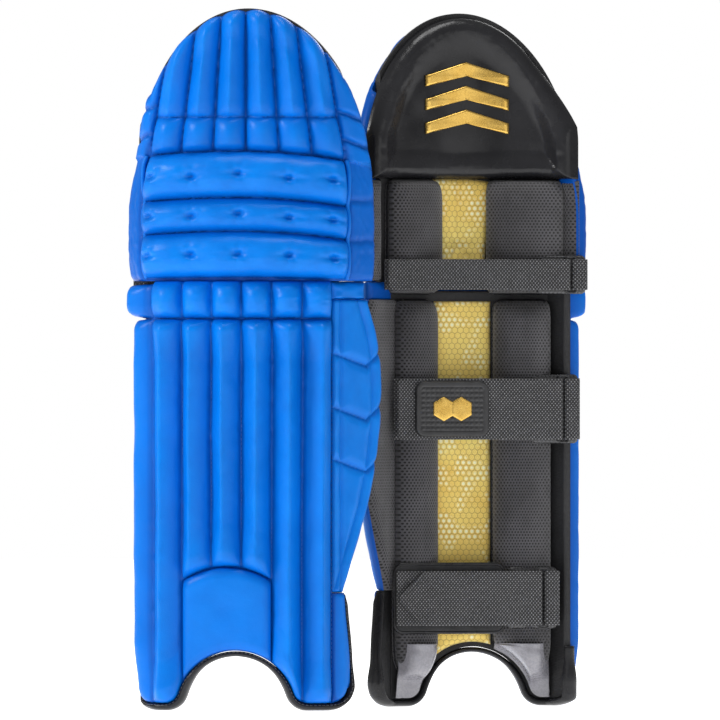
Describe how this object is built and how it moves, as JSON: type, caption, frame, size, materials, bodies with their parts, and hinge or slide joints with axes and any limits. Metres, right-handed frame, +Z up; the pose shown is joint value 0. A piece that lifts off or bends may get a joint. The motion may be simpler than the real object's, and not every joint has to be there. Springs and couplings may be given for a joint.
{
  "type": "pair of cricket batting pads",
  "caption": "Padded leg guards with upright shin ribs, knee rolls, an arched top, a side wing, rear bolsters and wide straps through rings.",
  "frame": {"origin": "middle of the pair on the floor under the lobes", "axes": "+Z up along the shins; pad_a shows its front towards -Y and pad_b its rear, as if seen in a shop picture"},
  "size_m": [0.4584, 0.247, 0.703],
  "materials": {
    "blue_pu": "semi-gloss coated fabric",
    "black_pu": "semi-gloss coated fabric",
    "black_mesh": "woven spacer mesh",
    "gold_fabric": "satin fabric with a hexagon print",
    "webbing": "woven",
    "stiffener_board": "covered board",
    "cane": "plain",
    "clear_pvc": "translucent",
    "neoprene": "matt, piped edge",
    "ring_plastic": "smooth",
    "badge_rubber": "moulded"
  },
  "bodies": {
    "pad_a_shin": {"pad_a_shin_board": "stiffener_board", "pad_a_shin_ribs": "blue_pu", "pad_a_shin_canes": "cane", "pad_a_instep_panel": "blue_pu", "pad_a_edge_binding": "black_pu", "pad_a_calf_bolster_inner": "black_mesh", "pad_a_calf_bolster_outer": "black_mesh", "pad_a_shin_liner": "gold_fabric", "pad_a_wear_patches": "clear_pvc", "pad_a_shin_strap_bases": "webbing", "pad_a_strap_backing": "neoprene", "pad_a_shin_rings": "ring_plastic", "pad_a_shin_ring_tabs": "webbing"},
    "pad_a_wing": {"pad_a_wing_panel": "blue_pu", "pad_a_wing_lining": "black_mesh"},
    "pad_a_knee": {"pad_a_knee_board": "stiffener_board", "pad_a_knee_rolls": "blue_pu", "pad_a_top_ribs": "blue_pu", "pad_a_knee_side_pieces": "blue_pu", "pad_a_knee_bolster_inner": "black_mesh", "pad_a_knee_bolster_outer": "black_mesh", "pad_a_knee_cup": "gold_fabric", "pad_a_top_pad": "black_pu", "pad_a_top_strap_base": "webbing", "pad_a_top_ring": "ring_plastic", "pad_a_top_ring_tab": "webbing"},
    "pad_a_top_tail": {"pad_a_top_tail": "webbing"},
    "pad_a_middle_tail": {"pad_a_middle_tail": "webbing", "pad_a_badge": "badge_rubber"},
    "pad_a_bottom_tail": {"pad_a_bottom_tail": "webbing"},
    "pad_b_shin": {"pad_b_shin_board": "stiffener_board", "pad_b_shin_ribs": "blue_pu", "pad_b_shin_canes": "cane", "pad_b_instep_panel": "blue_pu", "pad_b_edge_binding": "black_pu", "pad_b_calf_bolster_inner": "black_mesh", "pad_b_calf_bolster_outer": "black_mesh", "pad_b_shin_liner": "gold_fabric", "pad_b_wear_patches": "clear_pvc", "pad_b_shin_strap_bases": "webbing", "pad_b_strap_backing": "neoprene", "pad_b_shin_rings": "ring_plastic", "pad_b_shin_ring_tabs": "webbing"},
    "pad_b_wing": {"pad_b_wing_panel": "blue_pu", "pad_b_wing_lining": "black_mesh"},
    "pad_b_knee": {"pad_b_knee_board": "stiffener_board", "pad_b_knee_rolls": "blue_pu", "pad_b_top_ribs": "blue_pu", "pad_b_knee_side_pieces": "blue_pu", "pad_b_knee_bolster_inner": "black_mesh", "pad_b_knee_bolster_outer": "black_mesh", "pad_b_knee_cup": "gold_fabric", "pad_b_top_pad": "black_pu", "pad_b_top_strap_base": "webbing", "pad_b_top_ring": "ring_plastic", "pad_b_top_ring_tab": "webbing"},
    "pad_b_top_tail": {"pad_b_top_tail": "webbing"},
    "pad_b_middle_tail": {"pad_b_middle_tail": "webbing", "pad_b_badge": "badge_rubber"},
    "pad_b_bottom_tail": {"pad_b_bottom_tail": "webbing"}
  },
  "joints": [
    {"name": "pad_a_knee_flex", "type": "hinge", "parent": "pad_a_shin", "child": "pad_a_knee", "pos_m": [-0.13376, -0.09294, 0.4255], "axis": [-0.9903, 0.1392, 0], "range_deg": [-5, 10], "stiffness_Nm_per_rad": 14},
    {"name": "pad_a_wing_flex", "type": "hinge", "parent": "pad_a_shin", "child": "pad_a_wing", "pos_m": [-0.03086, -0.08879, 0], "axis": [0, 0, -1], "range_deg": [0, 20], "stiffness_Nm_per_rad": 1},
    {"name": "pad_a_top_strap_peel", "type": "hinge", "parent": "pad_a_knee", "child": "pad_a_top_tail", "pos_m": [-0.2076, -0.03632, 0.4375], "axis": [0, 0, 1], "range_deg": [0, 120]},
    {"name": "pad_a_middle_strap_peel", "type": "hinge", "parent": "pad_a_shin", "child": "pad_a_middle_tail", "pos_m": [-0.19968, -0.03743, 0.3015], "axis": [0, 0, 1], "range_deg": [0, 120]},
    {"name": "pad_a_bottom_strap_peel", "type": "hinge", "parent": "pad_a_shin", "child": "pad_a_bottom_tail", "pos_m": [-0.17734, -0.03653, 0.11], "axis": [0, 0, 1], "range_deg": [0, 120]},
    {"name": "pad_b_knee_flex", "type": "hinge", "parent": "pad_b_shin", "child": "pad_b_knee", "pos_m": [0.1191, 0.09008, 0.4255], "axis": [0.9781, 0.2079, 0], "range_deg": [-5, 10], "stiffness_Nm_per_rad": 14},
    {"name": "pad_b_wing_flex", "type": "hinge", "parent": "pad_b_shin", "child": "pad_b_wing", "pos_m": [0.02383, 0.05098, 0], "axis": [0, 0, -1], "range_deg": [0, 20], "stiffness_Nm_per_rad": 1},
    {"name": "pad_b_top_strap_peel", "type": "hinge", "parent": "pad_b_knee", "child": "pad_b_top_tail", "pos_m": [0.20785, 0.06212, 0.4375], "axis": [0, 0, 1], "range_deg": [0, 120]},
    {"name": "pad_b_middle_strap_peel", "type": "hinge", "parent": "pad_b_shin", "child": "pad_b_middle_tail", "pos_m": [0.20003, 0.06046, 0.3015], "axis": [0, 0, 1], "range_deg": [0, 120]},
    {"name": "pad_b_bottom_strap_peel", "type": "hinge", "parent": "pad_b_shin", "child": "pad_b_bottom_tail", "pos_m": [0.17934, 0.05198, 0.11], "axis": [0, 0, 1], "range_deg": [0, 120]},
    {"name": "pad_b_apart", "type": "slide", "parent": "pad_a_shin", "child": "pad_b_shin", "axis": [1, 0, 0], "range_m": [0, 0.3]}
  ]
}
